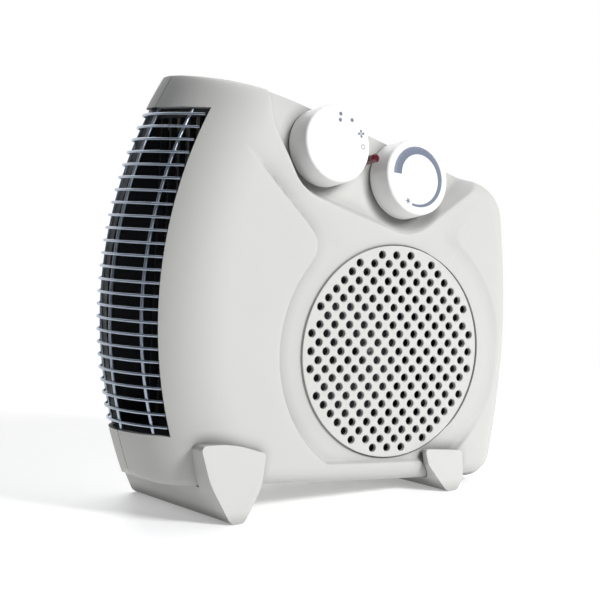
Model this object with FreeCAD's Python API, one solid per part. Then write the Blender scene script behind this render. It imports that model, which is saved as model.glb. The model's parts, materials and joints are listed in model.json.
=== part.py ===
import FreeCAD, Part
import math
import os

os.makedirs("parts", exist_ok=True)

# Upright ceramic fan heater.
# It is modelled in a body frame: origin at the centre of the intake disc, X to the right,
# Y to the back, Z up. The body leans on two unequal feet, so the last step turns every
# piece by the lean about Y and stands it on the floor.

# ---------------------------------------------------------------- driving dimensions (mm)
WALL = 2.5                     # moulded wall of the shells
FRONT = -2.0                   # front plane of the side panels
BACK = 102.0                   # back plane
MID = (FRONT + BACK) / 2       # parting plane of the two shells
SEAM = 0.1                     # half of the gap along the parting plane
EDGE_ROUND = 10.0              # rounding of the front and back edges

WHEEL_X = 91.6                 # centre of the big arc of the outlet side
WHEEL_Z = 24.3
WHEEL_R = 260.2
RIM_R = (BACK - FRONT) / 2     # the outlet side is a half round across its depth

TOP_LEFT = (-139.5, 158.0)     # corners of the front view, before rounding
TOP_BEND = (-86.0, 151.9)
TOP_RIGHT = (81.1, 100.4)
RIGHT_BULGE = (94.0, 7.5)
BOTTOM_RIGHT = (81.8, -79.1)
BOTTOM_LEFT = (-147.2, -79.1)
BEYOND_LOW = (-190.0, 20.0)    # two corners outside the outlet side's arc
BEYOND_HIGH = (-190.0, 56.0)
OUTLINE_ROUND = (12.0, 330.0, 26.0, 420.0, 17.0, 12.0, 0, 0)

WINDOW_Y = (13.5, 86.5)        # outlet window
WINDOW_Z = (-50.6, 138.0)

DISC_R = 64.2                  # intake disc
DISC_GAP = 0.4
DISC_THICK = 2.4
HOLE_STEP = 5.303              # half of the hole lattice's diagonal spacing
HOLE_R = 2.5
HOLE_LIMIT = 130               # holes reach this squared lattice distance
HOLE_ROWS = 11

POCKET_R = 80.0                # round part of the recessed centre panel
POCKET_FLOOR = 0.0
POCKET_BOTTOM = -67.5

KNOB_TILT = 10.0               # control panel leans back
ROW_SLOPE = 15.2               # the two knobs stand on a falling line
MODE_FACE = (-49.15, -4.29, 122.65)
THERMOSTAT_FACE = (9.55, -4.366, 106.3)
LAMP_FACE = (-19.4, -3.97, 116.5)
KNOB_R = 23.5
KNOB_DEPTH = 17.2
KNOB_GAP = 0.8                 # knob skirt above the panel
KNOB_STAND = KNOB_DEPTH + KNOB_GAP
LENS_R = 2.7
BULB_R = 1.6
LAMP_REACH = 14.5              # pilot lamp lens above the panel

WIRE_R = 0.8                   # outlet wires
WIRE_COUNT = 25
WIRE_TOP = 133.9
WIRE_PITCH = 7.47
UPRIGHT_R = 1.0
UPRIGHT_Y = (24.0, 49.0, 76.0)

SHAFT_R = 2.5                  # motor shaft
ROTOR_R = 14.0
STATOR_Y = (66.0, 84.0)
IMPELLER_R = 56.0
IMPELLER_Y = (14.0, 54.0)
SCROLL_R = 66.0
SCROLL_Y = (6.0, 60.0)
SCROLL_WALL = 1.6
LINER_X = -97.0                # inner end of the outlet duct

GUARD_X = (-122.5, -118.5)     # upright ribs in front of the heating element
ELEMENT_X = (-116.0, -101.0)   # heating element
ELEMENT_Z = (-40.0, 127.0)
STONE_Y = (26.0, 42.0, 58.0, 74.0)
STONE_HALF = 1.3
STRIP = 0.4
TERMINAL_ROOM = 16.0

SPINDLE_R = 3.0                # switch and thermostat spindles
RUNNING_GAP = 0.05             # radial clearance of turning fits

BOSSES = ((-80.0, -66.5), (62.0, -62.0), (80.0, 28.0), (66.0, 82.0), (-83.0, 137.0))
BOSS_R = 4.2
SCREW_R = 1.6

GLAND_X = 40.0                 # cord inlet in the back shell
GLAND_Z = -52.0
GLAND_R = 4.0

TERMINAL_X = (50.0, 74.0)      # supply terminal block
TERMINAL_Y = (84.0, 97.0)
TERMINAL_Z = (-42.0, -28.0)
TERMINAL_WAYS = (56.0, 62.0, 68.0)
TERMINAL_SCREW_Z = -35.0
LEAD_Y = 92.0
LEAD_R = 1.1
CUTOUT = (-110.0, 104.0)       # thermal cut-out and fuse beside the element
FUSE = (-110.0, 92.5)

OUTLET_FOOT_TIP = (-108.9, -98.4)
BACK_FOOT_TIP = (43.68, -85.41)
OUTLET_FOOT = ((-132.5, -53.6), (-111.0, -52.8), (-89.5, -58.8), (-93.0, -78.0), (-109.8, -105.2),
               (-126.8, -75.0))
OUTLET_FOOT_ROUND = (3.0, 70.0, 2.0, 34.0, 7.0, 40.0)
BACK_FOOT = ((25.3, -59.5), (53.4, -60.8), (52.8, -77.0), (43.2, -90.1), (27.0, -69.0))
BACK_FOOT_ROUND = (2.0, 2.0, 14.0, 7.0, 10.0)
FOOT_REACH = 9.8               # how far the tips stand out in front of the side panels
FOOT_TOP_REACH = 3.5           # the same at the top of the shields
FOOT_SCREW_Y = (22.0, 78.0)

LEAN = math.degrees(math.atan2(BACK_FOOT_TIP[1] - OUTLET_FOOT_TIP[1],
                               BACK_FOOT_TIP[0] - OUTLET_FOOT_TIP[0]))

Y_AXIS = FreeCAD.Vector(0, 1, 0)


# ---------------------------------------------------------------- small helpers
def vec(x, y, z):
    return FreeCAD.Vector(x, y, z)


def box(x, y, z):
    """Box between two values along each axis."""
    return Part.makeBox(x[1] - x[0], y[1] - y[0], z[1] - z[0], vec(x[0], y[0], z[0]))


def rod(x, z, radius, y):
    """Cylinder along Y between two values of Y."""
    return Part.makeCylinder(radius, y[1] - y[0], vec(x, y[0], z), Y_AXIS)


def tube(x, z, outer, inner, y):
    return rod(x, z, outer, y).cut(rod(x, z, inner, (y[0] - 1, y[1] + 1)))


def pin(radius, low, high, x=0.0, y=0.0):
    """Cylinder along Z between two heights."""
    return Part.makeCylinder(radius, high - low, vec(x, y, low))


def fuse_all(shapes):
    return shapes[0].multiFuse(shapes[1:]).removeSplitter()


def rounded_face(corners, radii, y):
    """Face in an XZ plane: a polygon whose corners become tangent arcs."""
    edges = []
    starts = []
    ends = []
    count = len(corners)
    for i in range(count):
        corner = vec(corners[i][0], y, corners[i][1])
        before = vec(corners[i - 1][0], y, corners[i - 1][1]) - corner
        after = vec(corners[(i + 1) % count][0], y, corners[(i + 1) % count][1]) - corner
        before.normalize()
        after.normalize()
        if radii[i] == 0:
            starts.append(corner)
            ends.append(corner)
            edges.append(None)
            continue
        half = before.getAngle(after) / 2
        reach = radii[i] / math.tan(half)
        start = corner + before * reach
        end = corner + after * reach
        bisector = (before + after).normalize()
        middle = corner + bisector * (radii[i] / math.sin(half) - radii[i])
        starts.append(start)
        ends.append(end)
        edges.append(Part.Arc(start, middle, end).toShape())
    path = []
    for i in range(count):
        if edges[i] is not None:
            path.append(edges[i])
        following = starts[(i + 1) % count]
        if ends[i].distanceToPoint(following) > 1e-6:
            path.append(Part.LineSegment(ends[i], following).toShape())
    return Part.Face(Part.Wire(path))


def prism(corners, radii, y):
    return rounded_face(corners, radii, y[0]).extrude(vec(0, y[1] - y[0], 0))


def bent_rod(points, radius, bend):
    """Round rod along a path of straight runs joined by tangent arcs."""
    nodes = [vec(*p) for p in points]
    edges = []
    last = nodes[0]
    for i in range(1, len(nodes) - 1):
        back = (nodes[i - 1] - nodes[i]).normalize()
        ahead = (nodes[i + 1] - nodes[i]).normalize()
        half = back.getAngle(ahead) / 2
        reach = bend / math.tan(half)
        start = nodes[i] + back * reach
        end = nodes[i] + ahead * reach
        inward = (back + ahead).normalize()
        middle = nodes[i] + inward * (bend / math.sin(half) - bend)
        edges.append(Part.LineSegment(last, start).toShape())
        edges.append(Part.Arc(start, middle, end).toShape())
        last = end
    edges.append(Part.LineSegment(last, nodes[-1]).toShape())
    path = Part.Wire(edges)
    section = Part.Wire(Part.Circle(nodes[0], nodes[1] - nodes[0], radius).toShape())
    return path.makePipeShell([section], True, False)


# ---------------------------------------------------------------- control panel frame
SLOPE = math.radians(ROW_SLOPE)
TILT = math.radians(KNOB_TILT)
ROW = vec(math.cos(SLOPE), 0, -math.sin(SLOPE))
OUT = vec(math.sin(SLOPE) * math.sin(TILT), -math.cos(TILT), math.cos(SLOPE) * math.sin(TILT))
UP = OUT.cross(ROW)
PANEL = vec(*MODE_FACE) - OUT * KNOB_STAND     # a point of the panel's surface


def panel_placement(origin):
    """Placement whose Z points out of the control panel and whose X runs along the knobs."""
    matrix = FreeCAD.Matrix(ROW.x, UP.x, OUT.x, origin.x,
                            ROW.y, UP.y, OUT.y, origin.y,
                            ROW.z, UP.z, OUT.z, origin.z,
                            0, 0, 0, 1)
    return FreeCAD.Placement(matrix)


def on_panel(shape, face):
    """Put a control, modelled on Z with the panel at Z = 0, under the given face centre."""
    foot = vec(*face)
    foot = foot - OUT * (foot - PANEL).dot(OUT)
    placed = shape.copy()
    placed.Placement = panel_placement(foot)
    return placed


# ---------------------------------------------------------------- body form
def body_solid(inset):
    """Outer form of the heater, or the same form moved inwards all round."""
    outline = rounded_face(
        (TOP_LEFT, TOP_BEND, TOP_RIGHT, RIGHT_BULGE, BOTTOM_RIGHT, BOTTOM_LEFT, BEYOND_LOW, BEYOND_HIGH),
        OUTLINE_ROUND, FRONT + inset)
    if inset > 0:
        outline = outline.makeOffset2D(-inset)
    slab = outline.extrude(vec(0, BACK - FRONT - 2 * inset, 0))
    flat_edges = [edge for edge in slab.Edges if edge.BoundBox.YLength < 0.01]
    slab = slab.makeFillet(EDGE_ROUND - inset, flat_edges)
    return slab.common(wheel(inset))


def wheel(inset):
    """Large disc with a half round rim; its rim is the outlet side."""
    rim = RIM_R - inset
    radius = WHEEL_R - RIM_R
    inner = vec(WHEEL_X, FRONT + inset, WHEEL_Z)
    front = vec(WHEEL_X - radius, FRONT + inset, WHEEL_Z)
    apex = vec(WHEEL_X - radius - rim, MID, WHEEL_Z)
    back = vec(WHEEL_X - radius, BACK - inset, WHEEL_Z)
    centre = vec(WHEEL_X, BACK - inset, WHEEL_Z)
    profile = Part.Wire([Part.LineSegment(inner, front).toShape(),
                         Part.Arc(front, apex, back).toShape(),
                         Part.LineSegment(back, centre).toShape(),
                         Part.LineSegment(centre, inner).toShape()])
    return Part.Face(profile).revolve(vec(WHEEL_X, 0, WHEEL_Z), Y_AXIS, 360)


def recess_cutter(grow):
    """Control recess at the top: a rounded outline down to the leaning panel."""
    outline = rounded_face(
        ((-84.0, 175.0), (-94.5, 136.0), (-68.0, 94.0), (13.0, 68.5), (64.5, 109.2), (58.0, 140.0)),
        (0, 26.0, 34.0, 28.0, 6.0, 0), FRONT - 10)
    if grow > 0:
        outline = outline.makeOffset2D(grow)
    deep = outline.extrude(vec(0, 60, 0))
    in_front = Part.makeBox(400, 400, 60, vec(-200, -200, 0))
    in_front.Placement = panel_placement(PANEL - OUT * grow)
    return deep.common(in_front)


def pocket_cutter(grow):
    """Recessed centre panel: a round area that opens upwards like an hourglass."""
    depth = (FRONT - 5, POCKET_FLOOR + grow)
    disc = rod(0, 0, POCKET_R + grow, depth)
    disc = disc.common(box((-100, 100), depth, (POCKET_BOTTOM - grow, 100)))
    funnel = prism(((-60.0, 47.0), (-58.0 - grow, 63.0), (-107.5 - grow, 115.2),
                    (68.0 + grow, 95.5), (45.0 + grow, 72.0), (58.0, 52.0)),
                   (0, 10.0, 0, 0, 8.0, 0), depth)
    return disc.fuse(funnel)


def make_shells():
    outer = body_solid(0)
    inner = body_solid(WALL)
    inner = inner.cut(recess_cutter(WALL)).cut(pocket_cutter(WALL))
    walls = outer.cut(inner)
    window = box((-220, -100), WINDOW_Y, WINDOW_Z)
    walls = walls.cut(window)
    front_posts = []
    back_posts = []
    screw_ways = []
    for x, z in BOSSES:
        front_posts.append(rod(x, z, BOSS_R, (FRONT + 1, MID)))
        back_posts.append(rod(x, z, BOSS_R + 1.2, (MID, BACK - 1)))
        screw_ways.append(rod(x, z, SCREW_R + 0.6, (MID - 1, BACK + 1)))
        screw_ways.append(rod(x, z, BOSS_R, (MID + 14, BACK + 1)))
    front_half = box((-220, 160), (FRONT - 5, MID - SEAM), (-120, 200))
    back_half = box((-220, 160), (MID + SEAM, BACK + 5), (-120, 200))
    front = walls.common(front_half)
    front = front.fuse([post.common(outer).common(front_half) for post in front_posts])
    front = front.cut(recess_cutter(0)).cut(pocket_cutter(0))
    front = front.cut(rod(0, 0, DISC_R - 1.4, (FRONT - 1, 10)))
    front = front.cut(rod(0, 0, DISC_R + DISC_GAP, (FRONT - 1, POCKET_FLOOR + DISC_THICK - 1.0)))
    for x, z in BOSSES:
        front = front.cut(rod(x, z, SCREW_R, (MID - 20, MID + 1)))
    for face, radius in ((MODE_FACE, 5.2), (THERMOSTAT_FACE, 5.2), (LAMP_FACE, LENS_R + 0.3)):
        front = front.cut(on_panel(pin(radius, -10, 10), face))
    back = walls.common(back_half)
    back = back.fuse([post.common(outer).common(back_half) for post in back_posts])
    for way in screw_ways:
        back = back.cut(way)
    back = back.cut(rod(GLAND_X, GLAND_Z, GLAND_R + 2.0, (BACK - 10, BACK + 1)))
    return outer, front, back


def make_shell_screws():
    screws = []
    for x, z in BOSSES:
        head = rod(x, z, SCREW_R + 1.9, (MID + 14, MID + 16.4))
        shank = rod(x, z, SCREW_R - 0.05, (MID - 14, MID + 14))
        slot = box((x - 2.2, x + 2.2), (MID + 15.6, MID + 17), (z - 0.4, z + 0.4))
        cross = box((x - 0.4, x + 0.4), (MID + 15.6, MID + 17), (z - 2.2, z + 2.2))
        screws.append(head.fuse(shank).cut(slot).cut(cross))
    return Part.makeCompound(screws)


# ---------------------------------------------------------------- intake
def make_intake_disc():
    disc = rod(0, 0, DISC_R, (POCKET_FLOOR, POCKET_FLOOR + DISC_THICK - 1.0))
    disc = disc.fuse(rod(0, 0, DISC_R - 1.7, (POCKET_FLOOR, POCKET_FLOOR + DISC_THICK)))
    holes = []
    span = range(-HOLE_ROWS, HOLE_ROWS + 1)
    for row in span:
        for column in span:
            odd = (row + column) % 2 == 1
            if odd and row * row + column * column <= HOLE_LIMIT:
                holes.append(rod(column * HOLE_STEP, row * HOLE_STEP, HOLE_R,
                                 (POCKET_FLOOR - 1, POCKET_FLOOR + DISC_THICK + 1)))
    return disc.cut(Part.makeCompound(holes))


# ---------------------------------------------------------------- outlet
def side_x(z, inset):
    """Left-most X of the outlet side at a height, for a form moved inwards."""
    return WHEEL_X - math.sqrt((WHEEL_R - inset) ** 2 - (z - WHEEL_Z) ** 2)


def make_wire_grille():
    """Bowed wires across the window, with three uprights welded behind them."""
    wires = []
    bow = RIM_R - WIRE_R
    half = MID - WINDOW_Y[0] - WIRE_R
    swing = math.asin(half / bow)
    for i in range(WIRE_COUNT):
        z = WIRE_TOP - i * WIRE_PITCH
        centre_x = side_x(z, WIRE_R) + bow
        near = vec(centre_x - bow * math.cos(swing), MID - bow * math.sin(swing), z)
        apex = vec(centre_x - bow, MID, z)
        far = vec(centre_x - bow * math.cos(swing), MID + bow * math.sin(swing), z)
        path = Part.Wire(Part.Arc(near, apex, far).toShape())
        along = vec(-math.sin(swing), math.cos(swing), 0)
        section = Part.Wire(Part.Circle(near, along, WIRE_R).toShape())
        wires.append(path.makePipeShell([section], True, False))
    for y in UPRIGHT_Y:
        depth = 2 * WIRE_R + UPRIGHT_R
        behind = (RIM_R - depth) - math.sqrt((RIM_R - depth) ** 2 - (y - MID) ** 2)
        radius = WHEEL_R - depth - behind
        ends = (WINDOW_Z[0] + 1.0, WINDOW_Z[1] - 1.0)
        points = []
        for z in (ends[0], (ends[0] + ends[1]) / 2, ends[1]):
            x = WHEEL_X - math.sqrt(radius ** 2 - (z - WHEEL_Z) ** 2)
            points.append(vec(x, y, z))
        path = Part.Wire(Part.Arc(*points).toShape())
        section = Part.Wire(Part.Circle(points[0], path.Edges[0].tangentAt(path.Edges[0].FirstParameter),
                                        UPRIGHT_R).toShape())
        wires.append(path.makePipeShell([section], True, False))
    return Part.makeCompound(wires)


def make_duct():
    """Black heat-proof duct between the fan and the window."""
    y_out = (WINDOW_Y[0] - 2.0, WINDOW_Y[1] + 2.0)
    z_out = (WINDOW_Z[0] - 2.0, WINDOW_Z[1] + 2.0)
    tube_outer = box((-200, LINER_X), y_out, z_out)
    tube_inner = box((-201, LINER_X - 2.0), WINDOW_Y, WINDOW_Z)
    duct = tube_outer.cut(tube_inner)
    reach = body_solid(WALL + 0.2)
    duct = duct.common(reach)
    port = box((LINER_X - 3, LINER_X + 1), (SCROLL_Y[0] + 8, SCROLL_Y[1] - SCROLL_WALL), (-46, 84))
    duct = duct.cut(port)
    return duct


def make_guard_ribs():
    """Upright plastic ribs in front of the heating element."""
    ribs = []
    for i in range(6):
        y = 21.0 + i * 11.6
        ribs.append(box(GUARD_X, (y - 1, y + 1), (WINDOW_Z[0] + 4.2, WINDOW_Z[1] - 4.2)))
    rails = [box(GUARD_X, (WINDOW_Y[0] + 0.3, WINDOW_Y[1] - 0.3), (z, z + 4))
             for z in (WINDOW_Z[0] + 0.3, WINDOW_Z[1] - 4.3)]
    return fuse_all(ribs + rails)


# ---------------------------------------------------------------- heating element

def make_element_frame():
    """Two end caps that carry the ceramic bars."""
    caps = []
    for z in ((WINDOW_Z[0] + 0.4, ELEMENT_Z[0] - 0.2), (ELEMENT_Z[1] + 0.2, WINDOW_Z[1] - 0.4)):
        caps.append(box((ELEMENT_X[0] - 1, ELEMENT_X[1] + 1), (WINDOW_Y[0] + 0.3, WINDOW_Y[1] - 0.3), z))
    return Part.makeCompound(caps)


def make_ceramic_stones():
    stones = []
    length = (ELEMENT_Z[1] - ELEMENT_Z[0]) / 6
    for y in STONE_Y:
        for i in range(6):
            low = ELEMENT_Z[0] + i * length + 0.3
            stones.append(box((ELEMENT_X[0] + 2, ELEMENT_X[1] - 2), (y - STONE_HALF, y + STONE_HALF),
                              (low, low + length - 0.6)))
    return Part.makeCompound(stones)


def make_electrode_strips():
    strips = []
    for y in STONE_Y:
        for side in (-1, 1):
            near = y + side * STONE_HALF
            far = near + side * STRIP
            strips.append(box(ELEMENT_X, (min(near, far), max(near, far)), ELEMENT_Z))
    return Part.makeCompound(strips)


def make_fins():
    """Folded aluminium fins on both sides of every ceramic bar."""
    fins = []
    pitch = 2.6
    thick = 1.0
    edge = STONE_HALF + STRIP + 0.02
    for y in STONE_Y:
        for side in (-1, 1):
            root = y + side * edge
            tip = y + side * (edge + 5.1)
            z = ELEMENT_Z[0] + 0.5
            points = []
            while z < ELEMENT_Z[1] - TERMINAL_ROOM:
                points.append((root, z))
                points.append((tip, z + pitch / 2))
                z += pitch
            points.append((root, z))
            path = [vec(ELEMENT_X[0], p[0], p[1]) for p in points]
            back = [vec(ELEMENT_X[0], p[0] + side * thick, p[1]) for p in reversed(points)]
            face = Part.Face(Part.makePolygon(path + back + [path[0]]))
            fins.append(face.extrude(vec(ELEMENT_X[1] - ELEMENT_X[0], 0, 0)))
    return Part.makeCompound(fins)


def make_element_terminals():
    tabs = []
    for y in (STONE_Y[0], STONE_Y[1], STONE_Y[3]):
        tabs.append(box((ELEMENT_X[1] - 4.6, ELEMENT_X[1] - 4.0), (y + 2.2, y + 7.0),
                        (ELEMENT_Z[1] - 12.0, ELEMENT_Z[1])))
    return Part.makeCompound(tabs)


# ---------------------------------------------------------------- fan
def scroll_outline(grow):
    """Side view of the fan chamber: a round back and a mouth towards the outlet."""
    disc = rod(0, 0, SCROLL_R + grow, SCROLL_Y)
    mouth = prism(((LINER_X + 0.3, -46.0 - grow), (-6.0, -SCROLL_R - grow), (0.0, 0.0),
                   (0.0, SCROLL_R + grow), (LINER_X + 0.3, 84.0 + grow)), (0, 0, 0, 0, 0), SCROLL_Y)
    return disc.fuse(mouth).removeSplitter()


def make_scroll():
    """Spiral wall and back plate of the fan chamber."""
    chamber = scroll_outline(0)
    inside = box((-120, 120), (SCROLL_Y[0] - 1, SCROLL_Y[1] - SCROLL_WALL), (-120, 120))
    scroll = scroll_outline(SCROLL_WALL).cut(chamber.common(inside))
    scroll = scroll.common(box((-120, 120), (SCROLL_Y[0] + 2.1, SCROLL_Y[1]), (-120, 120)))
    return scroll.cut(rod(0, 0, 12.0, (SCROLL_Y[1] - 5, SCROLL_Y[1] + 5)))


def make_inlet_plate():
    """Front plate of the fan chamber with a rolled inlet."""
    plate = scroll_outline(SCROLL_WALL).common(box((-120, 120), (SCROLL_Y[0], SCROLL_Y[0] + 2), (-120, 120)))
    plate = plate.cut(rod(0, 0, 52.0, (SCROLL_Y[0] - 1, SCROLL_Y[0] + 3)))
    collar = tube(0, 0, 52.0, 50.0, (SCROLL_Y[0], SCROLL_Y[0] + 5.5))
    return plate.fuse(collar).removeSplitter()


def make_impeller():
    """Squirrel cage: back disc, hub, forward curved blades and a front ring."""
    front_y, back_y = IMPELLER_Y
    disc = rod(0, 0, IMPELLER_R, (back_y - 2, back_y))
    dome = Part.makeCone(20.0, 9.0, 14.0, vec(0, back_y - 2, 0), vec(0, -1, 0))
    hub = rod(0, 0, 7.0, (back_y - 26, back_y))
    ring = tube(0, 0, IMPELLER_R, IMPELLER_R - 3.0, (front_y, front_y + 2.5))
    blades = []
    count = 28
    inner = IMPELLER_R - 11.0
    for i in range(count):
        blade = tube(inner + 2.0, 7.5, 11.0, 10.0, (front_y + 1, back_y - 1))
        blade = blade.common(tube(0, 0, IMPELLER_R - 0.05, inner, (front_y + 1, back_y - 1)))
        blade = blade.common(box((inner - 12, 70), (front_y, back_y), (-8.0, 1.5)))
        blade.rotate(vec(0, 0, 0), Y_AXIS, 360.0 * i / count)
        blades.append(blade)
    wheel_shape = fuse_all([disc, dome, hub, ring] + blades)
    return wheel_shape.cut(rod(0, 0, SHAFT_R, (0, 100)))


def make_motor_shaft():
    return rod(0, 0, SHAFT_R, (IMPELLER_Y[1] - 30, 94.0))


def make_rotor():
    rotor = rod(0, 0, ROTOR_R, (STATOR_Y[0] + 0.3, STATOR_Y[1] - 0.3))
    return rotor.cut(rod(0, 0, SHAFT_R, (0, 100)))


def make_shaft_circlips():
    """Collars that keep the shaft between its bearings."""
    return Part.makeCompound([tube(0, 0, 4.2, SHAFT_R, (61.2, 62.3)),
                              tube(0, 0, 4.2, SHAFT_R, (92.8, 93.8))])


def make_stator():
    """Laminated C frame of the shaded pole motor."""
    core = box((-26, 26), STATOR_Y, (-26, 24))
    core = core.cut(rod(0, 0, ROTOR_R + 0.4, (50, 100)))
    core = core.cut(box((-16, 16), (50, 100), (-42, -19.5)))
    window = box((-16, 16), (50, 100), (-19.6, -17.5))
    yoke = box((-26, 26), STATOR_Y, (-46, -34))
    legs = [box((x, x + 10), STATOR_Y, (-35, -25)) for x in (-26, 16)]
    core = fuse_all([core, yoke] + legs)
    core = core.cut(window)
    for x, z in ((-21, 19), (21, 19)):
        core = core.cut(rod(x, z, 1.8, (50, 100)))
    return core


def make_coil_parts():
    """Winding on the lower yoke and the flanged bobbin that carries it."""
    y0, y1 = STATOR_Y
    hole = box((-40, 40), (y0 - 0.3, y1 + 0.3), (-46.3, -33.7))
    sleeve = box((-15.4, 15.4), (y0 - 1.5, y1 + 1.5), (-47.5, -32.5))
    flanges = [box((x, x + 1.4), (y0 - 5.6, y1 + 5.6), (-52.5, -27.5)) for x in (-15.4, 14.0)]
    bobbin = fuse_all([sleeve] + flanges).cut(hole)
    coil = box((-13.9, 13.9), (y0 - 5.0, y1 + 5.0), (-51.8, -28.2))
    coil = coil.makeFillet(3.0, [e for e in coil.Edges if e.BoundBox.XLength > 20])
    coil = coil.cut(box((-20, 20), (y0 - 1.6, y1 + 1.6), (-47.6, -32.4)))
    return bobbin, coil


def make_bearing_bracket(y, bulge):
    """Strap across the stator that holds a bearing bush."""
    strap = box((-27, 27), y, (-7, 24))
    strap = strap.fuse(rod(0, 0, 10.0, bulge))
    strap = strap.cut(rod(0, 0, 6.0, (50, 110)))
    for x in (-21, 21):
        strap = strap.cut(rod(x, 19, 1.8, (50, 110)))
    return strap


def make_bushes():
    return Part.makeCompound([tube(0, 0, 6.0, SHAFT_R + RUNNING_GAP, (62.8, 64.8)),
                              tube(0, 0, 6.0, SHAFT_R + RUNNING_GAP, (87.0, 92.4))])


def make_motor_screws():
    screws = []
    for x in (-21, 21):
        screws.append(rod(x, 19, 1.7, (SCROLL_Y[1] + 2.2, 90)).fuse(rod(x, 19, 3.2, (88.2, 91))))
    return Part.makeCompound(screws)


def make_motor_plate():
    """Steel plate between the motor and the fan chamber."""
    plate = box((-34, 34), (SCROLL_Y[1] + 0.1, SCROLL_Y[1] + 1.3), (-16, 30))
    plate = plate.cut(rod(0, 0, 9.0, (50, 70)))
    for x in (-21, 21):
        plate = plate.cut(rod(x, 19, 1.75, (50, 70)))
    return plate


# ---------------------------------------------------------------- controls
def make_knob(face):
    """Plain round knob: a cup with a hub on its spindle."""
    body = pin(KNOB_R, KNOB_GAP, KNOB_STAND)
    rim = [edge for edge in body.Edges if abs(edge.BoundBox.ZMax - KNOB_STAND) < 0.01
           and edge.BoundBox.ZLength < 0.01]
    body = body.makeFillet(1.8, rim)
    body = body.cut(pin(KNOB_R - 2.0, 0, KNOB_STAND - 2.4))
    hub = pin(5.5, 3.2, KNOB_STAND - 2.0).cut(pin(SPINDLE_R, 3.0, KNOB_STAND - 4.0))
    webs = [box((-22.0, -5.0), (-0.8, 0.8), (8.0, KNOB_STAND - 2.0)),
            box((5.0, 22.0), (-0.8, 0.8), (8.0, KNOB_STAND - 2.0))]
    return on_panel(fuse_all([body, hub] + webs), face)


def make_spindle(face):
    return on_panel(pin(SPINDLE_R, -20.0, KNOB_STAND - 4.0), face)


def make_control_nuts():
    nuts = []
    for face in (MODE_FACE, THERMOSTAT_FACE):
        corners = [vec(8.0 * math.cos(math.radians(60 * i)), 8.0 * math.sin(math.radians(60 * i)), 0)
                   for i in range(7)]
        nut = Part.Face(Part.makePolygon(corners)).extrude(vec(0, 0, 2.2)).cut(pin(5.0, -1, 3))
        nuts.append(on_panel(nut, face))
    return Part.makeCompound(nuts)


def control_body(width, height, depth):
    """Moulded control body behind the panel, with a neck that passes through it."""
    case = box((-width / 2, width / 2), (-height / 2, height / 2), (-depth, -WALL - 0.1))
    neck = pin(5.0, -WALL - 1, 2.6)
    return case.fuse(neck).cut(pin(SPINDLE_R + RUNNING_GAP, -21.0, 5.0)).removeSplitter()


def tabs(width, depth, places):
    """Push-on terminals behind a control body."""
    return [box((x - 0.4, x + 0.4), (y - width / 2, y + width / 2), (-depth - 8.0, -depth))
            for x, y in places]


def make_mode_switch():
    return on_panel(control_body(26.0, 26.0, 24.0), MODE_FACE)


def make_thermostat():
    return on_panel(control_body(30.0, 24.0, 22.0), THERMOSTAT_FACE)


def make_control_tabs():
    mode = Part.makeCompound(tabs(6.0, 24.0, ((-8.0, 5.0), (0.0, -6.0), (8.0, 5.0))))
    heat = Part.makeCompound(tabs(6.0, 22.0, ((-9.0, 0.0), (9.0, 0.0))))
    return Part.makeCompound([on_panel(mode, MODE_FACE), on_panel(heat, THERMOSTAT_FACE)])


def make_thermostat_blades():
    """Bimetal and contact springs beside the thermostat's body."""
    blades = [box((15.3 + 2.0 * i, 15.7 + 2.0 * i), (-4.0, 4.0), (-20.0 - 3.0 * i, -4.0))
              for i in range(3)]
    return on_panel(Part.makeCompound(blades), THERMOSTAT_FACE)


def make_lamp_lens():
    """Hollow lens with a domed end and a flange on the panel."""
    lens = pin(LENS_R, -7.0, LAMP_REACH)
    lens = lens.fuse(Part.makeCone(LENS_R, LENS_R - 0.8, 0.8, vec(0, 0, LAMP_REACH)))
    lens = lens.fuse(pin(LENS_R + 1.1, 0.05, 0.9)).cut(pin(LENS_R - 0.8, -8.0, LAMP_REACH - 1.0))
    return on_panel(lens, LAMP_FACE)


def make_lamp_bulb():
    bulb = pin(BULB_R, -16.0, 6.0).fuse(Part.makeSphere(BULB_R, vec(0, 0, 6.0)))
    return on_panel(bulb, LAMP_FACE)


def make_lamp_clip():
    return on_panel(pin(4.6, -9.0, -WALL - 0.1).cut(pin(LENS_R, -20, 0)), LAMP_FACE)


# ---------------------------------------------------------------- wiring
def make_terminal_block():
    block = box(TERMINAL_X, TERMINAL_Y, TERMINAL_Z)
    for x in TERMINAL_WAYS:
        block = block.cut(pin(1.6, TERMINAL_Z[0] - 1, TERMINAL_Z[1] + 1, x, LEAD_Y))
        block = block.cut(rod(x, TERMINAL_SCREW_Z, 1.5, (TERMINAL_Y[0] - 1, TERMINAL_Y[0] + 6)))
    return block


def make_terminal_screws():
    return Part.makeCompound([rod(x, TERMINAL_SCREW_Z, 1.4, (TERMINAL_Y[0] + 0.5, TERMINAL_Y[0] + 6))
                              for x in TERMINAL_WAYS])


def make_cord_gland():
    """Inlet bush of the supply cord in the back shell."""
    gland = tube(GLAND_X, GLAND_Z, GLAND_R + 1.9, GLAND_R, (BACK - WALL - 2.0, BACK + 1.5))
    collar = tube(GLAND_X, GLAND_Z, GLAND_R + 4.0, GLAND_R, (BACK + 0.1, BACK + 2.0))
    return gland.fuse(collar).removeSplitter()


def make_thermal_cutout():
    can = rod(CUTOUT[0], CUTOUT[1], 8.0, (WINDOW_Y[1] + 2.2, WINDOW_Y[1] + 8.0))
    flange = rod(CUTOUT[0], CUTOUT[1], 9.5, (WINDOW_Y[1] + 2.2, WINDOW_Y[1] + 3.0))
    return can.fuse(flange).removeSplitter()


def make_thermal_fuse():
    return pin(2.0, 40.0, 56.0, FUSE[0], FUSE[1])


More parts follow.
